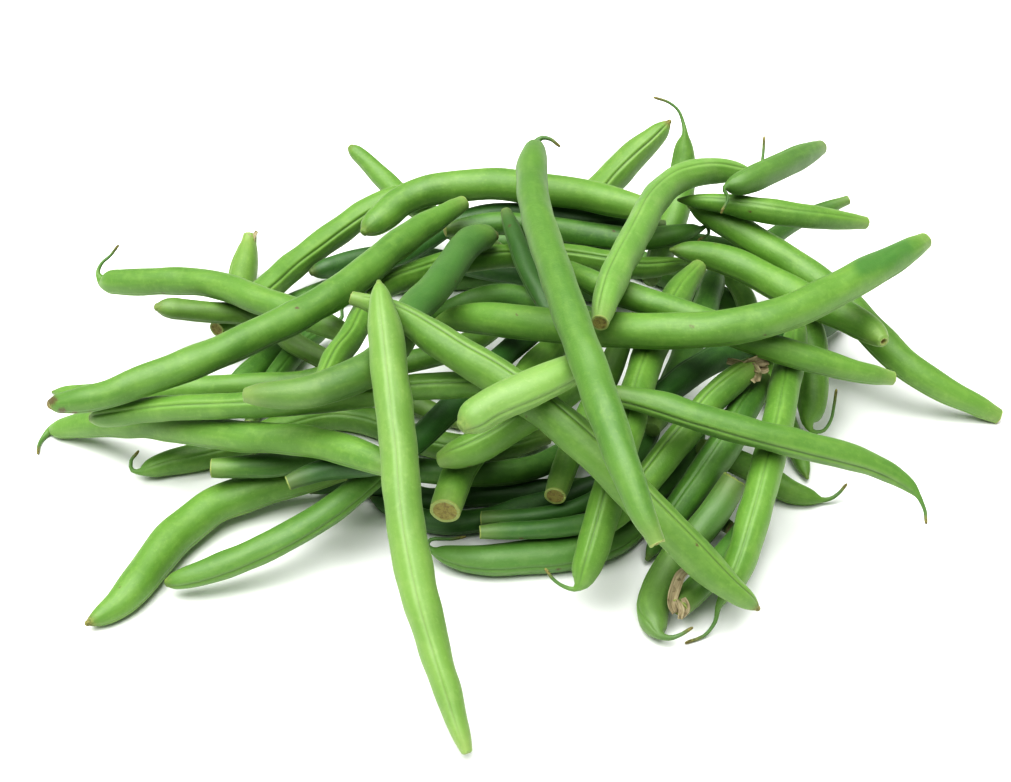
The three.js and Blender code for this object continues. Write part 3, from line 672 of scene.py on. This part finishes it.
class BEANS_OT_pods(bpy.types.Operator):
    """Replaces every bean's plain solid with a smooth pod"""

    bl_idname = "beans.pods"
    bl_label = "Green bean pods"

    def execute(self, context):
        sizes = context.scene.bean_sizes
        skins = {slot: pod_skin(f"waxy bean skin {slot}", tone) for slot, tone in TONES.items()}
        for number, (name, node, slot) in enumerate(bean_nodes()):
            rng = np.random.default_rng(SEED + number)
            look = {**PLAIN_POD, **POD_LOOKS.get(name, {})}
            pod = Pod(frame["nodes"][node])
            rows, first, last, marks, skin = pod_surface(pod, look, sizes, rng)
            places = np.concatenate([rows.reshape(-1, 3), [first, last]])
            values = {
                key: np.concatenate([grid.reshape(-1), [grid[0].mean(), grid[-1].mean()]])
                for key, grid in marks.items()
            }
            skin = np.concatenate([skin.reshape(-1, 3), [skin[0].mean(0), skin[-1].mean(0)]])
            faces = tube_faces(len(rows), rows.shape[1])
            piece = make_piece(f"pod_{name}", places, faces, skins[slot], values, skin)
            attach(piece, "root")
            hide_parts(node)
        return {"FINISHED"}


# Dried calyxes as papery strips, by the bean that carries them: each strip's path in picture pixels, the
# millimetres it stands in front of the stem's end, and half its width
CALYXES = {
    "right_calyx": (
        (((727, 361), (736, 363), (745, 366), (753, 369)), 1.7, 1.1),
        (((744, 368), (752, 364), (760, 361), (768, 360)), 2.1, 2.0),
        (((748, 366), (753, 371), (755, 376), (757, 382)), 2.5, 1.9),
        (((751, 366), (757, 367), (763, 368), (768, 367)), 1.9, 1.7),
    ),
    "right_low_calyx": (
        (((693, 572), (686, 570), (680, 575), (676, 585), (673, 596), (672, 605), (675, 613)), 0.8, 1.3),
        (((683, 598), (686, 605), (685, 611), (681, 618)), 1.8, 0.9),
        (((677, 600), (680, 607), (681, 612), (680, 619)), 1.9, 0.8),
    ),
    "upright_left": (
        (((252, 245), (250, 240), (247, 235)), 1.6, 1.1),
        (((252, 245), (253, 238), (257, 231)), 2.0, 0.9),
    ),
}
STRIP_ROWS = 26
STRIP_COLUMNS = 9


def strip_surface(path, near, lift, half_width, rng):
    """A papery strip along a path that the eye sees. It narrows to both ends, its edges curl towards the
    eye, and slow waves crumple it."""
    pixels = np.array(path, dtype=float)
    share = np.linspace(0, 1, STRIP_ROWS)
    places = []
    for across, down in spline(np.linspace(0, 1, len(pixels)), pixels, share):
        line = sight((across, down))
        places.append(EYE + line * (((near - EYE) @ FORWARD - lift) / (line @ FORWARD)))
    places = np.array(places)
    forward = unit(np.gradient(places, axis=0))
    across = unit(np.cross(forward, FORWARD))
    turn = 0.7 * np.sin(rng.uniform(2, 5) * share + rng.uniform(0, 6.3))[:, None]
    sideways = across * np.cos(turn) - FORWARD * np.sin(turn)
    width = half_width * (0.35 + 0.65 * np.sin(np.pi * (0.12 + 0.8 * share)))[:, None]
    out = np.linspace(-1, 1, STRIP_COLUMNS)[None]
    crumple = 0.18 * np.sin(6 * share[:, None] + 2 * out + rng.uniform(0, 6.3)) + 0.6 * out**2
    return (
        places[:, None]
        + sideways[:, None] * (width * out)[..., None]
        - FORWARD * (half_width * 0.8 * crumple)[..., None]
    )


class BEANS_OT_calyxes(bpy.types.Operator):
    """Adds the papery dried calyxes that some beans still carry at the stem"""

    bl_idname = "beans.calyxes"
    bl_label = "Dried calyxes"

    def execute(self, context):
        material = dried_calyx_skin()
        here = np.arange(STRIP_ROWS * STRIP_COLUMNS).reshape(STRIP_ROWS, STRIP_COLUMNS)
        quads = np.stack([here[:-1, :-1], here[1:, :-1], here[1:, 1:], here[:-1, 1:]], axis=-1).reshape(-1, 4)
        for number, (name, strips) in enumerate(CALYXES.items()):
            rng = np.random.default_rng(SEED * 7 + number)
            near = Pod(frame["nodes"][f"bean_{name}"]).centres[0]
            places, faces, skins = [], [], []
            for count, (path, lift, half_width) in enumerate(strips):
                rows = strip_surface(path, near, lift, half_width, rng)
                faces.extend((quads + count * here.size).tolist())
                places.append(rows.reshape(-1, 3))
                along, across = np.meshgrid(
                    np.linspace(0, 0.6, STRIP_ROWS), np.linspace(0, 2, STRIP_COLUMNS), indexing="ij"
                )
                skins.append(np.stack([across, along, along * 0 + count], axis=-1).reshape(-1, 3))
            places = np.concatenate(places)
            places[:, 2] = np.maximum(places[:, 2], 0.2)
            piece = make_piece(f"calyx_{name}", places, faces, material, {}, np.concatenate(skins))
            wall = piece.modifiers.new("paper wall", "SOLIDIFY")
            wall.thickness = 0.25 * MM
            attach(piece, "root")
        return {"FINISHED"}


class BEANS_OT_stage(bpy.types.Operator):
    """Adds the floor, the light and the camera"""

    bl_idname = "beans.stage"
    bl_label = "Plain stage"

    def execute(self, context):
        sizes = context.scene.stage_sizes
        half = sizes.floor_side / 2
        mesh = bpy.data.meshes.new("floor")
        mesh.from_pydata([(-half, -half, 0), (half, -half, 0), (half, half, 0), (-half, half, 0)], [], [(0, 1, 2, 3)])
        mesh.materials.append(floor_finish(tuple(sizes.floor_colour)))
        floor = bpy.data.objects.new("floor", mesh)
        context.scene.collection.objects.link(floor)

        world = bpy.data.worlds.new("soft studio")
        world.use_nodes = True
        tree = world.node_tree
        tree.nodes.clear()
        background = add(tree, "ShaderNodeBackground", None, Color=(0.98, 1.0, 1.0, 1.0), Strength=sizes.sky)
        add(tree, "ShaderNodeOutputWorld", None, Surface=background.outputs[0])
        context.scene.world = world

        light = bpy.data.lights.new("large soft light", "SUN")
        light.energy = sizes.key
        light.angle = math.radians(64)
        lamp = bpy.data.objects.new("large soft light", light)
        lamp.rotation_euler = (math.radians(8), math.radians(-10), 0)
        context.scene.collection.objects.link(lamp)

        camera = bpy.data.cameras.new("camera")
        camera.sensor_width = SENSOR_WIDTH
        camera.lens = SENSOR_WIDTH * FOCAL_PIXELS / PICTURE_WIDTH
        camera.clip_start = 0.01
        eye = bpy.data.objects.new("camera", camera)
        eye.location = tuple(MM * EYE)
        eye.rotation_euler = (math.pi / 2 - SLOPE, 0, 0)
        context.scene.collection.objects.link(eye)
        context.scene.camera = eye
        context.scene.view_settings.view_transform = "Standard"
        context.scene.view_settings.look = "High Contrast"
        return {"FINISHED"}


class BEANS_PT_sidebar(bpy.types.Panel):
    """Lists the sizes and the steps that make the heap"""

    bl_label = "Green beans"
    bl_idname = "BEANS_PT_sidebar"
    bl_space_type = "VIEW_3D"
    bl_region_type = "UI"
    bl_category = "Green beans"

    def draw(self, context):
        layout = self.layout
        for group, names in (
            (context.scene.bean_sizes, ("around", "step", "swelling")),
            (context.scene.stage_sizes, ("floor_side", "floor_colour", "sky", "key")),
        ):
            for name in names:
                layout.prop(group, name)
        for operator in STEPS:
            layout.operator(operator.bl_idname)


STEPS = (BEANS_OT_stage, BEANS_OT_pods, BEANS_OT_calyxes)
CLASSES = (BeanSizes, StageSizes, *STEPS, BEANS_PT_sidebar)


def register():
    for kind in CLASSES:
        bpy.utils.register_class(kind)
    bpy.types.Scene.bean_sizes = PointerProperty(type=BeanSizes)
    bpy.types.Scene.stage_sizes = PointerProperty(type=StageSizes)


def unregister():
    del bpy.types.Scene.stage_sizes
    del bpy.types.Scene.bean_sizes
    for kind in reversed(CLASSES):
        bpy.utils.unregister_class(kind)


def main():
    register()
    bpy.ops.beans.stage()
    bpy.ops.beans.pods()
    bpy.ops.beans.calyxes()


if __name__ == "__main__":
    main()
